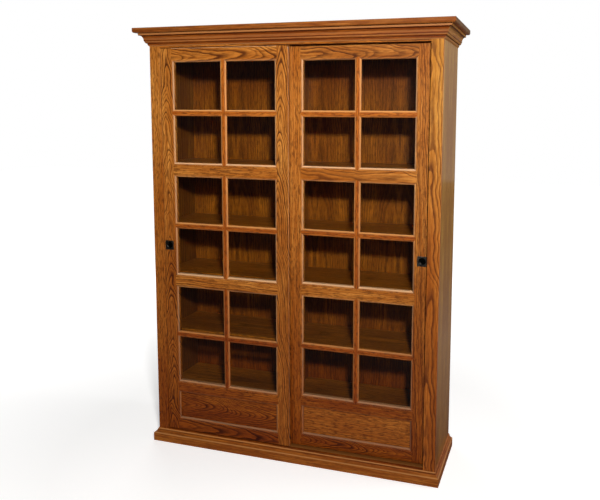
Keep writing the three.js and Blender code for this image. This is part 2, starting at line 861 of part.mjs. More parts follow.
// The whole bookcase
function makeBookcase() {
  const bookcase = new THREE.Group();
  const shelfTops = shelfLevels();
  addPiece(bookcase, "side_panel_left", sidePanel(-1, shelfTops), goldenOak);
  addPiece(bookcase, "side_panel_right", sidePanel(1, shelfTops), goldenOak);
  addPiece(bookcase, "partition", partition(shelfTops), oakVeneer);
  addPiece(bookcase, "back_panel", backPanel(), oakVeneer);
  addPiece(bookcase, "case_top", caseTop(), oakVeneer);
  addPiece(bookcase, "case_bottom", caseBottom(), oakVeneer);
  addPiece(bookcase, "face_stile_left", faceStile(-1), goldenOak);
  addPiece(bookcase, "face_stile_right", faceStile(1), goldenOak);
  addPiece(bookcase, "face_header", faceRail(openingTop, topUnderside), goldenOak);
  addPiece(bookcase, "face_sill", faceRail(0, openingBottom), redderOak);
  addPiece(bookcase, "top_board", topBoard(), goldenOak);
  addPiece(bookcase, "crown_moulding", crownMoulding(), goldenOak);
  addPiece(bookcase, "base_moulding", baseMoulding(), redderOak);
  addPiece(bookcase, "lower_track", lowerTrack(), brownVinyl);
  shelfTops.forEach((top, i) => {
    const leftBay = shelf(-halfInside, partitionCentre - boardThickness / 2, top);
    const rightBay = shelf(partitionCentre + boardThickness / 2, halfInside, top);
    addPiece(bookcase, `shelf_left_${i + 1}`, leftBay, oakVeneer);
    addPiece(bookcase, `shelf_right_${i + 1}`, rightBay, oakVeneer);
  });

  const frontDoor = makeDoor("door_left", true);
  frontDoor.position.set(-halfOpening + doorSideGap, frontDoorFace, 0);
  const rearDoor = makeDoor("door_right", false);
  rearDoor.position.set(halfOpening - doorSideGap - doorWidth, rearDoorFace, 0);
  bookcase.add(frontDoor, rearDoor);
  return bookcase;
}

const bookcase = makeBookcase();
bookcase.position.y = -(caseDepth - topOverhang) / 2;

export default bookcase;
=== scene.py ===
import math
import random

import bpy
from mathutils import Matrix, Vector


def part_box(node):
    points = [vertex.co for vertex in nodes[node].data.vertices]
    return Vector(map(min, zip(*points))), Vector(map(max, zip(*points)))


# A tall golden oak bookcase with two glazed doors that slide past each other.
# Metres, z up, the front of the case towards -y.

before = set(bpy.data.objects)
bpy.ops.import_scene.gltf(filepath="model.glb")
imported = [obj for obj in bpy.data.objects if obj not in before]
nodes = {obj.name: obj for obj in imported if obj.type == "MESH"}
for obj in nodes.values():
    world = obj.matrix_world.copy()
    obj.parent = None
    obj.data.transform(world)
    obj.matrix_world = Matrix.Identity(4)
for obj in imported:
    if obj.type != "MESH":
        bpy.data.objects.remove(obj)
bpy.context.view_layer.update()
print("frame loaded:", len(nodes), "nodes")


# Helpers

def linear(hexColour):
    # an sRGB hex colour as the linear red, green, blue and alpha of a socket
    shares = [int(hexColour[i:i + 2], 16) / 255 for i in (0, 2, 4)]
    return [s / 12.92 if s <= 0.04045 else ((s + 0.055) / 1.055) ** 2.4 for s in shares] + [1.0]


def mm(length):
    return length / 1000


def addNode(tree, kind, inputs=(), **settings):
    # inputs: a list for the first sockets in order, or a dictionary by socket name or number.
    # Each is a value, an output to link from, or a node, whose first output in use is then meant
    node = tree.nodes.new("ShaderNode" + kind)
    for setting, value in settings.items():
        setattr(node, setting, value)
    named = inputs if isinstance(inputs, dict) else dict(enumerate(inputs))
    for key, value in named.items():
        if isinstance(key, int):
            socket = node.inputs[key]
        else:
            socket = next(s for s in node.inputs if s.name == key and s.enabled)
        if isinstance(value, bpy.types.Node):
            value = next(s for s in value.outputs if s.enabled)
        if isinstance(value, bpy.types.NodeSocket):
            tree.links.new(value, socket)
        else:
            socket.default_value = value
    return node


def newMaterial(name):
    made = bpy.data.materials.new(name)
    made.use_nodes = True
    made.node_tree.nodes.clear()
    return made


def drawnOut(tree, vector, pattern):
    # a noise that is drawn out along the first axis of the vector
    length, width = pattern["length"], pattern["width"]
    counted = addNode(tree, "VectorMath", [vector, (1 / length, 1 / width, 1 / width)],
                      operation="MULTIPLY")
    return addNode(tree, "TexNoise", {"Vector": counted, "Scale": 1.0, "Detail": pattern["detail"],
                                      "Roughness": pattern["roughness"]})


def finish(nodeName, material):
    piece = nodes[nodeName]
    piece.data.materials.clear()
    piece.data.materials.append(material)


# Oak
# Plain-sawn red oak, planed, sanded, stained golden brown and sprayed with satin lacquer.
# The stain sinks into the open spring wood, so each growth ring reads as a dark ragged line
# that fades into smooth light summer wood. Real rings are 2 to 3 mm apart and the pores are
# 0.3 mm wide, too fine to show at this distance, so both are drawn coarser.

# length along the grain and width across it. shows = the part of the noise over which the
# pattern goes from nothing to all, share = how strong it is at each end of that
oakPatterns = {
    "bend": {"length": mm(80), "width": mm(24), "detail": 4.0, "roughness": 0.55},
    "cloud": {"length": mm(700), "width": mm(110), "detail": 2.0, "roughness": 0.5,
              "shows": (0.32, 0.68), "share": (0.15, 0.85)},   # slow changes of tone within a board
    "streak": {"length": mm(130), "width": mm(5), "detail": 2.0, "roughness": 0.6,
               "shows": (0.4, 0.62), "share": (0.0, 0.8)},
    "fleck": {"length": mm(30), "width": mm(5), "detail": 2.0, "roughness": 0.6,
              "shows": (0.49, 0.61)},   # short dark dashes between the ring lines
    "pore": {"length": mm(34), "width": mm(2.3), "detail": 1.0, "roughness": 0.5,
             "shows": (0.52, 0.68)},
}

rings = {
    "wander": mm(7),           # how far a ring strays from its circle
    "driftLength": mm(260),    # how soon the heart moves aside along a board
    "spread": 1.6,             # how unevenly the rings are spaced,
    "spreadOver": 0.37,        # and over how few rings that changes
    "faintest": 0.45,          # the palest year's line beside the darkest one's
    "boardShift": 3.7,         # metres of log between boards that are glued side by side
    # from one spring to the next: spring wood starts at once and fades slowly into summer wood
    "year": [(0.0, 0.6), (0.08, 1.0), (0.26, 0.7), (0.52, 0.18), (0.86, 0.0), (1.0, 0.6)],
}

pores = {
    "lineFull": 0.8,        # as dark a line as this has all its pores
    "between": 0.25,        # the share of pores between the lines
    "dark": 0.75,
    "rougher": 0.16,        # the lacquer sinks into them
    "depth": mm(0.25),
    "lineDepth": 0.4,       # a ring line beside a pore
    "relief": 0.35,
}

# the wood under the lacquer is matt, the rubbed lacquer mirrors the lamp in narrow bright lines
lacquer = {"ior": 1.5, "specular": 0.15, "coatRoughness": 0.12, "uneven": (0.3, 0.7),
           "smoother": 0.03, "rougher": 0.05}

# light = smooth summer wood, middle = clouds and streaks, dark = ring lines, dashes and pores,
# gloss = how much of the lacquer's mirror there is, roughness = of the wood under it
stains = {
    "golden": {"light": "E49A44", "middle": "A2560D", "dark": "4A1C00", "gloss": 0.32,
               "roughness": 0.55},
    "inside": {"light": "BE6C14", "middle": "733806", "dark": "2E1001", "gloss": 0.25,
               "roughness": 0.4},
    # pale: a paler stain for the right face stile, partly its own tone, partly a painted sheen of the
    # lamp at its top
    "pale": {"light": "F6B856", "middle": "B06A14", "dark": "542200", "gloss": 0.32,
             "roughness": 0.55},
}

# painted shade: darker and redder towards the floor, for the lamp's light falling off, and inside the
# case darker under the case top as well.
# Heights in metres, the one near the floor last
paintedShadeByHeight = {
    "golden": [{"from": 1.65, "to": 0.15, "tint": "BC9436"}],
    "inside": [{"from": 1.72, "to": 1.92, "tint": "D4C0A0"},
               {"from": 0.85, "to": 0.25, "tint": "D0A66C"}],
    # the pale stile darkens from its top down, which leaves a painted sheen at the top
    "pale": [{"from": 2.0, "to": 1.15, "tint": "D28B20"},
             {"from": 1.65, "to": 0.15, "tint": "BC9436"}],
}

# a painted highlight on the doors' moulded edges, strongest where they look up, standing in for the
# lamp catching them.
# flat = how squarely a face looks to the front or the side where that starts,
# round = where it is full
paintedEdgeHighlight = {"flat": 0.998, "round": 0.95, "least": 0.12, "up": 0.85, "side": 0.36, "mostAt": 0.45,
             "nearFloor": 0.25, "colour": "ECBE90"}

# along the mouldings: painted highlights on the ledges and beads that face the lamp, and painted shade
# in the grooves.
# Each band starts and ends so many mm below the moulding's upper edge
# the colour of the painted highlight bands, then of the painted shade in the grooves
highlightBand = "D69A5C"
grooveShade = "431600"
paintedMouldingBands = {
    "soft": mm(0.8),
    "onReturns": 0.3,   # how much of them shows on the side returns
    "crown": [
        {"from": 1, "to": 9.5, "colour": highlightBand, "share": 0.35},
        {"from": 11, "to": 15, "colour": grooveShade, "share": 0.8},
        {"from": 22, "to": 32, "colour": highlightBand, "share": 0.15},
        {"from": 33.5, "to": 37.5, "colour": grooveShade, "share": 0.6},
        {"from": 38.5, "to": 43, "colour": highlightBand, "share": 0.25},
        {"from": 47, "to": 51, "colour": grooveShade, "share": 0.6},
        {"from": 56, "to": 61, "colour": highlightBand, "share": 0.3},
    ],
    "base": [
        {"from": 1, "to": 5, "colour": highlightBand, "share": 0.45},
        {"from": 7, "to": 10, "colour": grooveShade, "share": 0.5},
        {"from": 19.5, "to": 23.5, "colour": highlightBand, "share": 0.5},
    ],
}

# how a board was cut from the log: where the log's heart lies behind its face and aside of it,
# how far that place drifts, how the rings taper along the board (which stacks them into arches),
# how they swell and over what length, their spacing, and how strongly rings and dashes took the
# stain. A leaning log's heart is under the face at one end of the board and beside it at the other
cuts = {
    "cathedral": {"heartDepth": mm(26), "heartAside": mm(2), "drift": mm(24), "taper": 0.2,
                  "swell": mm(40), "swellLength": mm(300), "ring": mm(7.2), "line": 0.92,
                  "fleck": 0.4},
    "leaning": {"heartDepth": mm(24), "heartAside": mm(32), "drift": mm(16), "taper": 0.17,
                "swell": mm(40), "swellLength": mm(300), "ring": mm(9), "line": 1.0,
                "fleck": 0.4, "wander": mm(9), "lean": 0.036},
    "loops": {"heartDepth": mm(24), "heartAside": mm(4), "drift": mm(34), "taper": 0.2,
              "swell": mm(60), "swellLength": mm(220), "ring": mm(10), "line": 1.0,
              "fleck": 0.3, "wander": mm(16)},
    "flame": {"heartDepth": mm(28), "heartAside": mm(18), "drift": mm(36), "taper": 0.06,
              "swell": mm(50), "swellLength": mm(420), "ring": mm(14), "line": 0.8,
              "fleck": 0.2, "wander": mm(10)},
    "sideCathedral": {"heartDepth": mm(34), "heartAside": mm(14), "drift": mm(26), "taper": 0.12,
                      "swell": mm(50), "swellLength": mm(360), "ring": mm(11.5), "line": 1.0,
                      "fleck": 0.35, "wander": mm(10)},
    "rift": {"heartDepth": mm(70), "heartAside": mm(95), "drift": mm(9), "taper": 0.03,
             "swell": mm(25), "swellLength": mm(850), "ring": mm(10), "line": 0.85,
             "fleck": 0.55},
    "fine": {"heartDepth": mm(90), "heartAside": mm(200), "drift": mm(3), "taper": 0.01,
             "swell": mm(10), "swellLength": mm(850), "ring": mm(7), "line": 0.45,
             "fleck": 0.25},
    "quiet": {"heartDepth": mm(90), "heartAside": mm(200), "drift": mm(5), "taper": 0.01,
              "swell": mm(10), "swellLength": mm(850), "ring": mm(9), "line": 0.4,
              "fleck": 0.65},
    "veneer": {"heartDepth": mm(60), "heartAside": mm(80), "drift": mm(20), "taper": 0.04,
               "swell": mm(25), "swellLength": mm(600), "ring": mm(11), "line": 0.5,
               "fleck": 0.4},
    "plainVeneer": {"heartDepth": mm(90), "heartAside": mm(200), "drift": mm(5), "taper": 0.01,
                    "swell": mm(10), "swellLength": mm(850), "ring": mm(12), "line": 0.2,
                    "fleck": 0.15},
}


def boardGrain(tree, look, box, shift):
    # a vector of along, across and depth, measured from the middle of the board
    place = addNode(tree, "TexCoord").outputs["Object"]
    middle = (box[0] + box[1]) / 2
    centred = addNode(tree, "VectorMath", [place, middle], operation="SUBTRACT")
    split = addNode(tree, "SeparateXYZ", [centred])
    grain = addNode(tree, "CombineXYZ", [split.outputs[axis] for axis in look["order"]])
    if "mitre" in look:
        turned = addNode(tree, "CombineXYZ", [split.outputs[axis] for axis in look["otherOrder"]])
        grain = addNode(tree, "Mix", {"Factor": look["mitre"](tree, place), "A": grain, "B": turned},
                        data_type="VECTOR")
    grain = addNode(tree, "VectorMath", [grain, (shift, 0, 0)], operation="ADD")
    split = addNode(tree, "SeparateXYZ", [grain])
    if "boardWidth" in look:
        # glued up from boards, each from another part of the log
        count = addNode(tree, "Math", [split.outputs[1], look["boardWidth"]], operation="DIVIDE")
        board = addNode(tree, "Math", [count], operation="FLOOR")
        chance = addNode(tree, "TexWhiteNoise", {"W": board}, noise_dimensions="1D")
        along = addNode(tree, "Math", [chance, rings["boardShift"], split.outputs[0]],
                        operation="MULTIPLY_ADD")
        within = addNode(tree, "Math", [count], operation="FRACT")
        fromMiddle = addNode(tree, "Math", [within, 0.5], operation="SUBTRACT")
        across = addNode(tree, "Math", [fromMiddle, look["boardWidth"]], operation="MULTIPLY")
        grain = addNode(tree, "CombineXYZ", [along, across, split.outputs[2]])
    if "leafWidth" in look:
        # book-matched veneer: each leaf mirrors the one beside it
        folded = addNode(tree, "Math", [split.outputs[1], look["leafWidth"]], operation="PINGPONG")
        across = addNode(tree, "Math", [folded, look["leafWidth"] / 2], operation="SUBTRACT")
        grain = addNode(tree, "CombineXYZ", [split.outputs[0], across, split.outputs[2]])
    return grain


def ringLines(tree, grain, cut, shift):
    # how dark the growth rings' lines are, 0 in summer wood and up to 1 in spring wood
    bend = drawnOut(tree, grain, oakPatterns["bend"]).outputs["Color"]
    offset = addNode(tree, "VectorMath", [bend, (0.5, 0.5, 0.5)], operation="SUBTRACT")
    wander = cut.get("wander", rings["wander"])
    wandered = addNode(tree, "VectorMath", [offset, (0, wander, wander), grain],
                       operation="MULTIPLY_ADD")
    split = addNode(tree, "SeparateXYZ", [wandered])
    along = split.outputs[0]

    # where the log's heart is, seen from this point of the board
    driftAt = addNode(tree, "Math", [along, rings["driftLength"]], operation="DIVIDE")
    drift = addNode(tree, "TexNoise", {"W": driftAt, "Scale": 1.0, "Detail": 2.0},
                    noise_dimensions="1D")
    heartAside = addNode(tree, "MapRange", [drift, 0.0, 1.0, cut["heartAside"] - cut["drift"],
                                            cut["heartAside"] + cut["drift"]])
    aside = addNode(tree, "Math", [split.outputs[1], heartAside], operation="ADD")
    if "lean" in cut:
        fromMiddle = addNode(tree, "Math", [along, shift], operation="SUBTRACT")
        aside = addNode(tree, "Math", [fromMiddle, -cut["lean"], aside], operation="MULTIPLY_ADD")
    depth = addNode(tree, "Math", [split.outputs[2], cut["heartDepth"]], operation="ADD")
    fromHeart = addNode(tree, "CombineXYZ", [aside, depth])
    reach = addNode(tree, "VectorMath", [fromHeart], operation="LENGTH")

    # rings are counted outwards from the heart, with the log's taper and its slow swellings
    tapered = addNode(tree, "Math", [along, cut["taper"], reach], operation="MULTIPLY_ADD")
    swellAt = addNode(tree, "Math", [along, cut["swellLength"]], operation="DIVIDE")
    swell = addNode(tree, "TexNoise", {"W": swellAt, "Scale": 1.0, "Detail": 1.0},
                    noise_dimensions="1D")
    swollen = addNode(tree, "Math", [swell, cut["swell"], tapered], operation="MULTIPLY_ADD")
    evenYears = addNode(tree, "Math", [swollen, cut["ring"]], operation="DIVIDE")
    unevenAt = addNode(tree, "Math", [evenYears, rings["spreadOver"]], operation="MULTIPLY")
    uneven = addNode(tree, "TexNoise", {"W": unevenAt, "Scale": 1.0, "Detail": 1.0},
                     noise_dimensions="1D")
    years = addNode(tree, "Math", [uneven, rings["spread"], evenYears], operation="MULTIPLY_ADD")

    season = addNode(tree, "Math", [years], operation="FRACT")
    spring = addNode(tree, "FloatCurve", {"Value": season})
    curve = spring.mapping.curves[0]
    for point, place in zip((curve.points[0], curve.points[1]), (rings["year"][0], rings["year"][-1])):
        point.location = place
    for at, dark in rings["year"][1:-1]:
        curve.points.new(at, dark)
    spring.mapping.update()

    year = addNode(tree, "Math", [years], operation="FLOOR")
    chance = addNode(tree, "TexWhiteNoise", {"W": year}, noise_dimensions="1D")
    strength = addNode(tree, "MapRange", [chance, 0.0, 1.0, rings["faintest"], 1.0])
    return addNode(tree, "Math", [spring, strength], operation="MULTIPLY")


def paintedHighlightColour(tree, colour, look, nearFloor):
    # painted highlight on the doors' moulded edges, told from the flat faces by the way they look
    facing = addNode(tree, "SeparateXYZ", [addNode(tree, "NewGeometry").outputs["True Normal"]])
    sideways = addNode(tree, "Math", [facing.outputs[0]], operation="ABSOLUTE")
    forwards = addNode(tree, "Math", [facing.outputs[1]], operation="ABSOLUTE")
    squarely = addNode(tree, "Math", [sideways, forwards], operation="MAXIMUM")
    edge = addNode(tree, "MapRange", [squarely, paintedEdgeHighlight["flat"], paintedEdgeHighlight["round"]])
    up = addNode(tree, "MapRange", [facing.outputs[2], 0.0, paintedEdgeHighlight["mostAt"], paintedEdgeHighlight["least"],
                                    paintedEdgeHighlight["up"]])
    aside = addNode(tree, "MapRange", [sideways, 0.0, paintedEdgeHighlight["mostAt"], paintedEdgeHighlight["least"],
                                       look.get("paintedHighlightSide", paintedEdgeHighlight["side"])])
    share = addNode(tree, "Math", [up, aside], operation="MAXIMUM")
    paintedHighlight = addNode(tree, "MapRange", [nearFloor, 0.0, 1.0, 1.0, paintedEdgeHighlight["nearFloor"]])
    highlightShare = addNode(tree, "Math", [edge, share], operation="MULTIPLY")
    highlightShare = addNode(tree, "Math", [highlightShare, paintedHighlight], operation="MULTIPLY")
    return addNode(tree, "Mix", {"Factor": highlightShare, "A": colour, "B": linear(paintedEdgeHighlight["colour"])},
                   data_type="RGBA")


def paintedBandsColour(tree, colour, look, box, height):
    # painted highlight and painted shade lines along a moulding
    down = addNode(tree, "Math", [box[1].z, height], operation="SUBTRACT")
    shown = addNode(tree, "MapRange", [sideFacing(tree), 0.0, 1.0, 1.0, paintedMouldingBands["onReturns"]])
    soft = paintedMouldingBands["soft"]
    for band in paintedMouldingBands[look["paintedBands"]]:
        start, end = mm(band["from"]), mm(band["to"])
        below = addNode(tree, "MapRange", [down, start - soft, start + soft])
        above = addNode(tree, "MapRange", [down, end + soft, end - soft])
        share = addNode(tree, "Math", [below, above], operation="MULTIPLY")
        share = addNode(tree, "Math", [share, shown], operation="MULTIPLY")
        share = addNode(tree, "Math", [share, band["share"]], operation="MULTIPLY")
        colour = addNode(tree, "Mix", {"Factor": share, "A": colour, "B": linear(band["colour"])},
                         data_type="RGBA")
    return colour


def stainedOak(name, look, box, shift):
    made = newMaterial(name)
    tree = made.node_tree
    cut = cuts[look["cut"]]
    stain = stains[look["stain"]]
    grain = boardGrain(tree, look, box, shift)
    noise = {kind: drawnOut(tree, grain, oakPatterns[kind])
             for kind in ("cloud", "streak", "fleck", "pore")}
    shows = {kind: [noise[kind], *oakPatterns[kind]["shows"]] for kind in noise}

    line = ringLines(tree, grain, cut, shift)
    lineShare = cut["line"]
    if "innerFace" in look:
        inner = look["innerFace"](tree)
        lineShare = addNode(tree, "MapRange", [inner, 0.0, 1.0, cut["line"], look["innerLine"]])
    line = addNode(tree, "Math", [line, lineShare], operation="MULTIPLY")
    porous = addNode(tree, "MapRange", [line, 0.0, pores["lineFull"], pores["between"], 1.0])
    pore = addNode(tree, "Math", [addNode(tree, "MapRange", shows["pore"]), porous],
                   operation="MULTIPLY")

    # summer wood, then the clouds, the streaks, the dashes, the ring lines and the pores
    layers = [
        (addNode(tree, "MapRange", [*shows["cloud"], *oakPatterns["cloud"]["share"]]), "middle"),
        (addNode(tree, "MapRange", [*shows["streak"], *oakPatterns["streak"]["share"]]), "middle"),
        (addNode(tree, "MapRange", [*shows["fleck"], 0.0, cut["fleck"]]), "dark"),
        (line, "dark"),
        (addNode(tree, "Math", [pore, pores["dark"]], operation="MULTIPLY"), "dark"),
    ]
    colour = linear(stain["light"])
    for share, tone in layers:
        colour = addNode(tree, "Mix", {"Factor": share, "A": colour, "B": linear(stain[tone])},
                         data_type="RGBA")

    # painted shade by height, painted edge highlight, painted shade on the returns, tone, painted
    # moulding bands and painted shade on the inner faces: each tint is laid over the wood by its share
    place = addNode(tree, "TexCoord").outputs["Object"]
    height = addNode(tree, "SeparateXYZ", [place]).outputs[2]
    tints = []
    # painted shade, darker and redder towards the floor
    for shading in paintedShadeByHeight[look["stain"]]:
        nearFloor = addNode(tree, "MapRange", [height, shading["from"], shading["to"], 0.0,
                                               look.get("lowShare", 1.0)])
        tints.append((nearFloor, shading["tint"]))
    colour = tintedColour(tree, colour, tints)
    # painted highlight on the doors' moulded edges
    if "paintedHighlight" in look:
        colour = paintedHighlightColour(tree, colour, look, nearFloor)
    toneShare = 1.0
    # painted shade on the faces that look to the side, darker and greener
    if "returnShade" in look:
        onReturn = sideFacing(tree)
        colour = tintedColour(tree, colour, [(onReturn, look["returnShade"])])
        toneShare = addNode(tree, "Math", [1.0, onReturn], operation="SUBTRACT")
    if "tone" in look:
        colour = tintedColour(tree, colour, [(toneShare, look["tone"])])
    # painted highlight and painted shade bands along the mouldings
    if "paintedBands" in look:
        colour = paintedBandsColour(tree, colour, look, box, height)
    # painted shade on the side panels' inner faces, which look into the case
    if "innerFace" in look:
        colour = tintedColour(tree, colour, [(inner, look["innerShade"])])

    sheen = addNode(tree, "MapRange", [noise["streak"], *lacquer["uneven"],
                                       stain["roughness"] - lacquer["smoother"],
                                       stain["roughness"] + lacquer["rougher"]])
    roughness = addNode(tree, "Math", [pore, pores["rougher"], sheen], operation="MULTIPLY_ADD")
    sunk = addNode(tree, "Math", [line, pores["lineDepth"], pore], operation="MULTIPLY_ADD")
    level = addNode(tree, "Math", [sunk, -1.0], operation="MULTIPLY")
    relief = addNode(tree, "Bump", {"Height": level, "Strength": pores["relief"],
                                    "Distance": pores["depth"]})
    surface = addNode(tree, "BsdfPrincipled",
                      {"Base Color": colour, "Roughness": roughness, "Normal": relief,
                       "IOR": lacquer["ior"], "Specular IOR Level": lacquer["specular"],
                       "Coat Weight": look.get("gloss", stain["gloss"]),
                       "Coat Roughness": lacquer["coatRoughness"]})
    addNode(tree, "OutputMaterial", {"Surface": surface})
    return made


def tintedColour(tree, colour, tints):
    for share, tint in tints:
        colour = addNode(tree, "Mix", {"Factor": share, "A": colour, "B": linear(tint)},
                         data_type="RGBA", blend_type="MULTIPLY")
    return colour


# The boards
# order = the axes that are along, across and through the board. otherOrder = the same where the
# mask says that the grain turns, at a mitre or where two bars cross. lowShare = how much of the
# painted shade towards the floor the board shows, tone = its own tint (on the crown painted shade),
# returnShade = painted shade on its returns

standing = (2, 0, 1)      # grain upright, face to the front
standingSide = (2, 1, 0)  # grain upright, face to the side
lying = (0, 2, 1)         # grain level, face to the front
lyingFlat = (0, 1, 2)     # grain level, face up
goingBack = (1, 2, 0)     # grain from front to back, face to the side

caseFront = {"y": -0.173, "halfWidth": 0.738}  # the corner of the case, in metres from its middle
outerSkin = mm(5)           # how much of a side panel counts as its outer face
muntin = {"halfWidth": mm(15.5)}


def mitreMask(tree, place):
    # 1 on the side returns of the mouldings, 0 along the front
    split = addNode(tree, "SeparateXYZ", [place])
    aside = addNode(tree, "Math", [split.outputs[0]], operation="ABSOLUTE")
    total = addNode(tree, "Math", [aside, split.outputs[1]], operation="ADD")
    corner = caseFront["halfWidth"] + caseFront["y"]
    return addNode(tree, "Math", [total, corner], operation="GREATER_THAN")


def sideFacing(tree):
    # 1 on faces that look to the side
    facing = addNode(tree, "SeparateXYZ", [addNode(tree, "NewGeometry").outputs["True Normal"]])
    aside = addNode(tree, "Math", [facing.outputs[0]], operation="ABSOLUTE")
    return addNode(tree, "Math", [aside, 0.5], operation="GREATER_THAN")


def muntinMask(middle):
    # 1 on the level arms, 0 on the upright bar that runs through
    def mask(tree, place):
        split = addNode(tree, "SeparateXYZ", [place])
        aside = addNode(tree, "Math", [split.outputs[0], middle], operation="SUBTRACT")
        distance = addNode(tree, "Math", [aside], operation="ABSOLUTE")
        return addNode(tree, "Math", [distance, muntin["halfWidth"]], operation="GREATER_THAN")
    return mask


def innerSide(tree):
    # 1 on what looks into the case, 0 on the outer faces of the side panels
    split = addNode(tree, "SeparateXYZ", [addNode(tree, "TexCoord").outputs["Object"]])
    aside = addNode(tree, "Math", [split.outputs[0]], operation="ABSOLUTE")
    return addNode(tree, "Math", [aside, caseFront["halfWidth"] - outerSkin], operation="LESS_THAN")


# the side panels' inner faces get a painted shade
sidePanel = {"order": standingSide, "cut": "plainVeneer", "stain": "golden", "leafWidth": 0.21,
             "innerFace": innerSide, "innerShade": "B4904A", "innerLine": 0.7, "tone": "E0FFEA",
             "lowShare": 0.7}
shelfBoard = {"order": lyingFlat, "cut": "veneer", "stain": "inside", "leafWidth": 0.17,
              "lowShare": 0.0}
# the muntin bars carry the painted edge highlight, with more of it on their side-facing edges
muntinBar = {"order": standing, "otherOrder": lying, "cut": "quiet", "stain": "golden",
             "paintedHighlight": True, "paintedHighlightSide": 0.55, "tone": "F2D6A8"}
caseBoards = {
    "side_panel_left": sidePanel,
    "side_panel_right": sidePanel,
    "partition": {"order": standingSide, "cut": "veneer", "stain": "inside", "leafWidth": 0.21},
    "back_panel": {"order": standing, "cut": "veneer", "stain": "inside", "leafWidth": 0.23},
    "case_top": {"order": lyingFlat, "cut": "veneer", "stain": "inside", "leafWidth": 0.2},
    "case_bottom": {"order": lyingFlat, "cut": "veneer", "stain": "inside", "leafWidth": 0.2},
    "face_stile_left": {"order": standing, "cut": "quiet", "stain": "golden"},
    "face_stile_right": {"order": standing, "cut": "flame", "stain": "pale", "lowShare": 0.6},
    "face_header": {"order": lying, "cut": "rift", "stain": "golden"},
    "face_sill": {"order": lying, "cut": "rift", "stain": "golden"},
    # top board and crown: painted shade, darker and greener, on their side returns
    "top_board": {"order": lyingFlat, "cut": "fine", "stain": "golden", "boardWidth": 0.115,
                  "tone": "C8B8B4", "returnShade": "99A069", "gloss": 0.1},
    # the crown's tone is painted shade: the moulding faces down, away from the lamp
    "crown_moulding": {"order": lying, "otherOrder": goingBack, "mitre": mitreMask, "cut": "fine",
                       "stain": "golden", "tone": "BF9E60", "returnShade": "DBE45F",
                       "paintedBands": "crown", "gloss": 0.1},
    "base_moulding": {"order": lying, "otherOrder": goingBack, "mitre": mitreMask, "cut": "fine",
                      "stain": "golden", "lowShare": 0.7, "paintedBands": "base"},
}

doorBoards = {
    "door_left": {
        "stile_left": {"order": standing, "cut": "loops"},
        "stile_right": {"order": standing, "cut": "leaning", "lowShare": 0.75},
        "rail_top": {"order": lying, "cut": "sideCathedral"},
        "rail_upper": {"order": lying, "cut": "quiet"},
        "rail_lower": {"order": lying, "cut": "rift", "lowShare": 0.4},
        "rail_panel": {"order": lying, "cut": "quiet"},
        "rail_bottom": {"order": lying, "cut": "sideCathedral"},
        "panel": {"order": lying, "cut": "cathedral"},
    },
    "door_right": {
        "stile_left": {"order": standing, "cut": "quiet"},
        "stile_right": {"order": standing, "cut": "rift"},
        "rail_top": {"order": lying, "cut": "sideCathedral", "tone": "E4DCD4"},
        "rail_upper": {"order": lying, "cut": "flame"},
        "rail_lower": {"order": lying, "cut": "quiet", "lowShare": 0.5},
        "rail_panel": {"order": lying, "cut": "quiet"},
        "rail_bottom": {"order": lying, "cut": "cathedral"},
        "panel": {"order": lying, "cut": "quiet", "lowShare": 0.65},
    },
}

sections = ("lower", "middle", "upper")
levels = range(1, 7)
logs = random.Random(11)
logLength = 3  # metres to either side of the middle


def woodFor(nodeName, look):
    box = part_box(nodeName)
    shift = logs.uniform(-logLength, logLength)  # where along the log this board was cut
    finish(nodeName, stainedOak(look["stain"] + "_oak_" + nodeName, look, box, shift))


def dressCase():
    for nodeName, look in caseBoards.items():
        woodFor(nodeName, look)
    for side in ("left", "right"):
        for level in levels:
            woodFor(f"shelf_{side}_{level}", shelfBoard)
    print("case wood done")


def dressDoorWood():
    for door, members in doorBoards.items():
        for member, look in members.items():
            # each door member carries the painted edge highlight
            woodFor(f"{door}_{member}", {**look, "stain": "golden", "paintedHighlight": True})
        for section in sections:
            nodeName = f"{door}_muntins_{section}"
            low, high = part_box(nodeName)
            woodFor(nodeName, {**muntinBar, "mitre": muntinMask((low.x + high.x) / 2)})
    print("door wood done")


# Clear float glass, 3 mm: almost no colour of its own, sharp faint reflections.
# Light from the lamps passes straight through it onto the shelves.

floatGlass = {"tint": "F4F8F6", "ior": 1.5}


def clearGlass():
    made = newMaterial("clear_float_glass")
    tree = made.node_tree
    sheet = addNode(tree, "BsdfPrincipled",
                    {"Base Color": linear(floatGlass["tint"]), "Roughness": 0.0,
                     "IOR": floatGlass["ior"], "Transmission Weight": 1.0})
    path = addNode(tree, "LightPath")
    lampRay = addNode(tree, "Math", [path.outputs["Is Shadow Ray"], path.outputs["Is Diffuse Ray"]],
                      operation="MAXIMUM")
    through = addNode(tree, "BsdfTransparent", {"Color": linear(floatGlass["tint"])})
    mixed = addNode(tree, "MixShader", [lampRay, sheet, through])
    addNode(tree, "OutputMaterial", {"Surface": mixed})
    return made


# Flush pull: cast zinc, darkened and waxed. The plate is rubbed to a dull grey sheen, and the
# dish behind it has kept its black.

pull = {"plate": "57534D", "worn": "7C7872", "dish": "1A1815", "dishFrom": mm(3), "dishTo": mm(8),
        "patch": mm(9), "smoothest": 0.26, "roughest": 0.48, "castDepth": mm(0.2), "cast": 0.3}


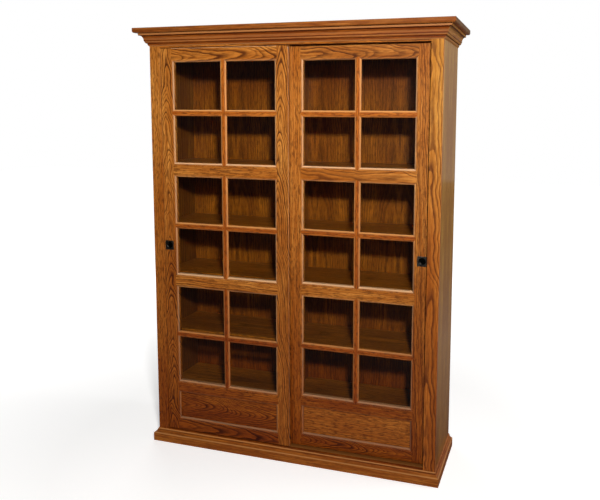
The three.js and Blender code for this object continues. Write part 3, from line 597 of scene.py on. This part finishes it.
def blackenedZinc(nodeName):
    made = newMaterial("blackened_cast_zinc_" + nodeName)
    tree = made.node_tree
    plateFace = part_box(nodeName)[0].y
    place = addNode(tree, "TexCoord").outputs["Object"]
    patches = addNode(tree, "TexNoise", {"Vector": place, "Scale": 1 / pull["patch"], "Detail": 4.0})
    plate = addNode(tree, "Mix", {"Factor": patches, "A": linear(pull["plate"]),
                                  "B": linear(pull["worn"])}, data_type="RGBA")
    inward = addNode(tree, "SeparateXYZ", [place]).outputs[1]
    deep = addNode(tree, "MapRange", [inward, plateFace + pull["dishFrom"], plateFace + pull["dishTo"]])
    colour = addNode(tree, "Mix", {"Factor": deep, "A": plate, "B": linear(pull["dish"])},
                     data_type="RGBA")
    roughness = addNode(tree, "MapRange", [patches, 0.0, 1.0, pull["smoothest"], pull["roughest"]])
    cast = addNode(tree, "Bump", {"Height": patches, "Strength": pull["cast"],
                                  "Distance": pull["castDepth"]})
    surface = addNode(tree, "BsdfPrincipled", {"Base Color": colour, "Metallic": 1.0,
                                               "Roughness": roughness, "Normal": cast})
    addNode(tree, "OutputMaterial", {"Surface": surface})
    return made


# Lower track: rigid vinyl, extruded in oak brown. Faint die lines along its length, a low even sheen.

vinyl = {"dark": "6B3E14", "light": "8A5420", "smoothest": 0.34, "roughest": 0.52, "ior": 1.5,
         "dieLines": {"length": mm(300), "width": mm(0.8), "detail": 2.0, "roughness": 0.5}}


def vinylTrack():
    made = newMaterial("oak_brown_vinyl")
    tree = made.node_tree
    lines = drawnOut(tree, addNode(tree, "TexCoord").outputs["Object"], vinyl["dieLines"])
    colour = addNode(tree, "Mix", {"Factor": lines, "A": linear(vinyl["dark"]),
                                   "B": linear(vinyl["light"])}, data_type="RGBA")
    roughness = addNode(tree, "MapRange", [lines, 0.0, 1.0, vinyl["smoothest"], vinyl["roughest"]])
    surface = addNode(tree, "BsdfPrincipled", {"Base Color": colour, "Roughness": roughness,
                                               "IOR": vinyl["ior"]})
    addNode(tree, "OutputMaterial", {"Surface": surface})
    return made


# Rollers: moulded nylon, cream white with a waxy sheen, greyer where it has run.

nylon = {"clean": "DAD5C9", "soiled": "B9B2A3", "patch": mm(6), "smoothest": 0.35,
         "roughest": 0.55, "ior": 1.53}


def mouldedNylon():
    made = newMaterial("moulded_nylon")
    tree = made.node_tree
    place = addNode(tree, "TexCoord").outputs["Object"]
    patches = addNode(tree, "TexNoise", {"Vector": place, "Scale": 1 / nylon["patch"], "Detail": 3.0})
    colour = addNode(tree, "Mix", {"Factor": patches, "A": linear(nylon["clean"]),
                                   "B": linear(nylon["soiled"])}, data_type="RGBA")
    roughness = addNode(tree, "MapRange", [patches, 0.0, 1.0, nylon["smoothest"], nylon["roughest"]])
    surface = addNode(tree, "BsdfPrincipled", {"Base Color": colour, "Roughness": roughness,
                                               "IOR": nylon["ior"]})
    addNode(tree, "OutputMaterial", {"Surface": surface})
    return made


def dressDoorParts():
    glass = clearGlass()
    plastic = mouldedNylon()
    for door in doorBoards:
        for section in sections:
            finish(f"{door}_glass_{section}", glass)
        finish(f"{door}_pull", blackenedZinc(f"{door}_pull"))
        for number in (1, 2):
            finish(f"{door}_roller_{number}", plastic)
    finish("lower_track", vinylTrack())
    print("glass, pulls, track and rollers done")


# Studio: a pale floor, a small bright key lamp close to the camera, which gives the lacquer its
# sharp glints, a soft lamp from the right and one from behind

studio = {
    "floorSize": 30.0,
    "floorColour": "F2F1EF",
    "floorRoughness": 0.9,
    "floorLift": 0.45,      # how far the floor is lifted towards white, for the camera alone
    "liftNear": 1.2,        # the lift grows from here, in metres from the middle,
    "liftFar": 3.6,         # to full white here
    "mirroredFront": "2A2928",   # the floor as glass and metal mirror it, dim in front of the case
    "mirroredBehind": "C9C8C6",  # and bright at this many metres behind it
    "mirroredReach": 2.0,
    "fill": 0.1,            # soft light from all sides
    "dimSide": (-0.4, 0.02),     # the room as they mirror it: the y of the direction, how bright
    "brightSide": (0.3, 0.4),    # and the same for the side behind the case
    "aim": (-0.5, 0.0, 1.8),
}
lamps = {
    "key": {"place": (1.62, -3.26, 2.6), "size": 0.3, "power": 72.0, "spread": 120},
    "side": {"place": (4.2, 0.6, 2.2), "size": 2.0, "power": 65.0, "spread": 180},
    "rear": {"place": (-2.6, 3.6, 2.4), "size": 3.0, "power": 50.0, "spread": 180},
}


def paleFloor():
    half = studio["floorSize"] / 2
    corners = [(-half, -half, 0), (half, -half, 0), (half, half, 0), (-half, half, 0)]
    mesh = bpy.data.meshes.new("floor")
    mesh.from_pydata(corners, [], [(0, 1, 2, 3)])
    floor = bpy.data.objects.new("floor", mesh)
    bpy.context.scene.collection.objects.link(floor)
    made = newMaterial("pale_studio_floor")
    tree = made.node_tree
    path = addNode(tree, "LightPath")
    place = addNode(tree, "TexCoord").outputs["Object"]
    away = addNode(tree, "VectorMath", [place], operation="LENGTH")
    white = addNode(tree, "MapRange", [away, studio["liftNear"], studio["liftFar"],
                                       studio["floorLift"], 1.0])
    lift = addNode(tree, "Math", [path.outputs["Is Camera Ray"], white], operation="MULTIPLY")
    back = addNode(tree, "MapRange", [addNode(tree, "SeparateXYZ", [place]).outputs[1], 0.0,
                                      studio["mirroredReach"]])
    mirrored = addNode(tree, "Mix", {"Factor": back, "A": linear(studio["mirroredFront"]),
                                     "B": linear(studio["mirroredBehind"])}, data_type="RGBA")
    colour = addNode(tree, "Mix", {"Factor": path.outputs["Is Glossy Ray"],
                                   "A": linear(studio["floorColour"]), "B": mirrored},
                     data_type="RGBA")
    surface = addNode(tree, "BsdfPrincipled",
                      {"Base Color": colour, "Roughness": studio["floorRoughness"],
                       "Emission Color": (1, 1, 1, 1), "Emission Strength": lift})
    addNode(tree, "OutputMaterial", {"Surface": surface})
    mesh.materials.append(made)


def softRoom():
    # white where the camera looks, and soft light on everything else
    world = bpy.data.worlds.new("studio")
    world.use_nodes = True
    bpy.context.scene.world = world
    tree = world.node_tree
    tree.nodes.clear()
    path = addNode(tree, "LightPath")
    direction = addNode(tree, "SeparateXYZ", [addNode(tree, "TexCoord").outputs["Generated"]])
    # the backdrop is behind the case: mirrored rays that go to the front meet the dim side
    dimAt, dim = studio["dimSide"]
    brightAt, bright = studio["brightSide"]
    room = addNode(tree, "MapRange", [direction.outputs[1], dimAt, brightAt, dim, bright])
    mirrored = addNode(tree, "Math",
                       [path.outputs["Is Glossy Ray"], path.outputs["Is Transmission Ray"]],
                       operation="MAXIMUM")
    light = addNode(tree, "Mix", {"Factor": mirrored, "A": studio["fill"], "B": room},
                    data_type="FLOAT")
    strength = addNode(tree, "Mix", {"Factor": path.outputs["Is Camera Ray"], "A": light, "B": 1.0},
                       data_type="FLOAT")
    shade = addNode(tree, "Background", {"Color": (1, 1, 1, 1), "Strength": strength})
    addNode(tree, "OutputWorld", {"Surface": shade})


def addLamps():
    for name, look in lamps.items():
        lamp = bpy.data.lights.new(name, "AREA")
        lamp.shape = "DISK"
        lamp.size = look["size"]
        lamp.energy = look["power"]
        lamp.spread = math.radians(look["spread"])
        placed = bpy.data.objects.new(name, lamp)
        place = Vector(look["place"])
        placed.location = place
        placed.rotation_euler = (Vector(studio["aim"]) - place).to_track_quat("-Z", "Y").to_euler()
        bpy.context.scene.collection.objects.link(placed)


# Camera, where the photograph was taken from: eye height, a little to the right of the case

viewpoint = {
    "place": (1.2265, -3.0613, 1.7000),
    "turnLeft": 16.773,   # degrees
    "lookDown": 6.413,
    "roll": 0.483,
    "lens": 39.468,
    "sensor": 36,
    "shift": (-0.0978, -0.0954),
    "farthest": 100,
}


def addCamera():
    data = bpy.data.cameras.new("view")
    data.sensor_fit = "HORIZONTAL"
    data.sensor_width = viewpoint["sensor"]
    data.lens = viewpoint["lens"]
    data.shift_x, data.shift_y = viewpoint["shift"]
    data.clip_end = viewpoint["farthest"]
    camera = bpy.data.objects.new("view", data)
    turn = math.radians(viewpoint["turnLeft"])
    down = math.radians(viewpoint["lookDown"])
    roll = math.radians(viewpoint["roll"])
    ahead = Vector((-math.sin(turn) * math.cos(down), math.cos(turn) * math.cos(down), -math.sin(down)))
    right = Vector((math.cos(turn), math.sin(turn), 0))
    up = right.cross(ahead)
    rolledRight = right * math.cos(roll) + up * math.sin(roll)
    rolledUp = up * math.cos(roll) - right * math.sin(roll)
    turned = Matrix((rolledRight, rolledUp, -ahead)).transposed()
    camera.matrix_world = Matrix.Translation(viewpoint["place"]) @ turned.to_4x4()
    bpy.context.scene.collection.objects.link(camera)
    bpy.context.scene.camera = camera


dressCase()
dressDoorWood()
dressDoorParts()
paleFloor()
softRoom()
addLamps()
addCamera()
bpy.context.scene.view_settings.view_transform = "Standard"
print("studio done")
